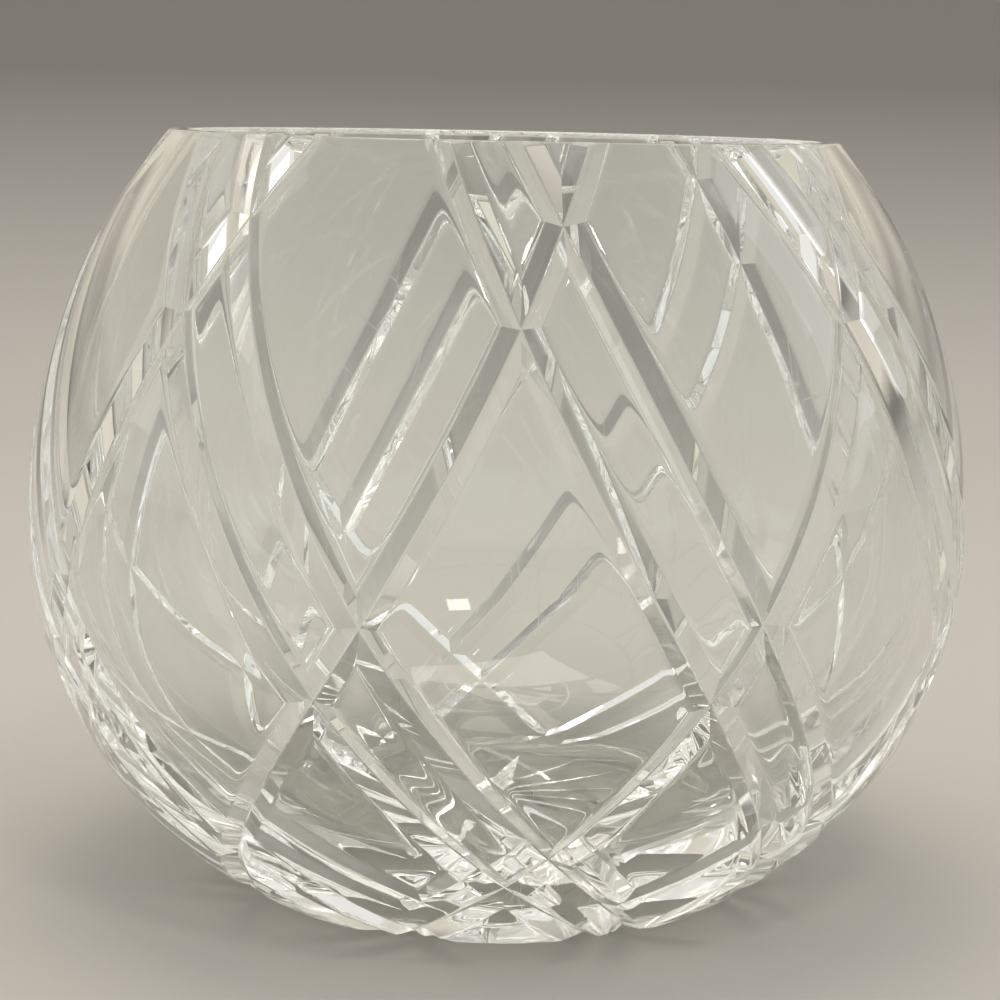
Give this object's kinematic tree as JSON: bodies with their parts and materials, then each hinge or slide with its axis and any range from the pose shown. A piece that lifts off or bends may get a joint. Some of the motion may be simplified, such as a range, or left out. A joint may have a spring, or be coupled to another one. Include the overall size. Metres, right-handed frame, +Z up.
{
  "type": "rose bowl vase",
  "caption": "Ball-shaped clear glass rose bowl with a wide open rim, a flat star-cut foot and crossing mitre-cut grooves outside; holds water and short-stemmed flowers.",
  "frame": {"origin": "centre of the flat foot, on the surface that the bowl stands on", "axes": "+Z up along the bowl's axis, -Y towards the pictured front, +X to the right of that view"},
  "size_m": [0.2, 0.2, 0.16],
  "materials": {
    "crystal": "polished"
  },
  "bodies": {
    "root": {"glass_bowl": "crystal"}
  },
  "joints": []
}
